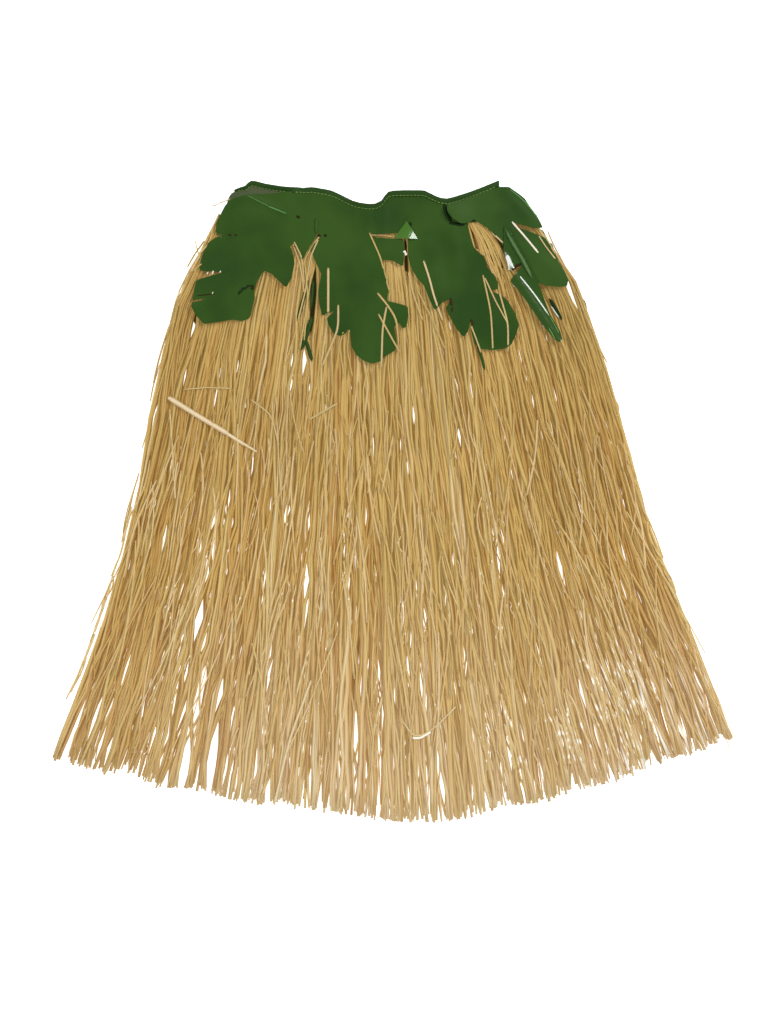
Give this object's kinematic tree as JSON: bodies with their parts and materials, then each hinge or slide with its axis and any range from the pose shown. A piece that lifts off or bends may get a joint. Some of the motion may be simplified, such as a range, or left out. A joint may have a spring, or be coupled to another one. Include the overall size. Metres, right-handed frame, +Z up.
{
  "type": "grass skirt",
  "caption": "Grass skirt laid flat: two layers of long raffia fringe under a glossy green waistband cut into leaves.",
  "frame": {"origin": "on the surface it lies on, under the middle of the laid-out skirt", "axes": "+Z up out of the front face, +Y from the hem to the waist, +X across the fan of the fringe, to the right seen from above"},
  "size_m": [0.676, 0.6406, 0.0186],
  "materials": {
    "leaf_sheet": "smooth leaf-green plastic sheet with a soft gloss and fold lines",
    "binding": "darker green folded plastic strip with a stitched line",
    "raffia": "dry straw-coloured raffia strands with lengthwise ridges and a slight sheen"
  },
  "bodies": {
    "root": {"waistband_front": "leaf_sheet", "binding_front": "binding", "leaf_front_wide": "leaf_sheet", "leaf_front_long": "leaf_sheet", "leaf_front_palm": "leaf_sheet", "leaf_front_overlap": "leaf_sheet", "leaf_front_slim": "leaf_sheet", "waistband_back": "leaf_sheet", "binding_back": "binding", "leaf_back_left": "leaf_sheet", "leaf_back_slim": "leaf_sheet", "leaf_back_middle": "leaf_sheet", "leaf_back_right": "leaf_sheet", "fringe_front_1": "raffia", "fringe_front_2": "raffia", "fringe_front_3": "raffia", "fringe_front_4": "raffia", "fringe_front_5": "raffia", "fringe_front_6": "raffia", "fringe_front_7": "raffia", "fringe_front_8": "raffia", "fringe_front_9": "raffia", "fringe_back_1": "raffia", "fringe_back_2": "raffia", "fringe_back_3": "raffia", "fringe_back_4": "raffia", "fringe_back_5": "raffia", "fringe_back_6": "raffia", "fringe_back_7": "raffia", "fringe_back_8": "raffia"}
  },
  "joints": []
}
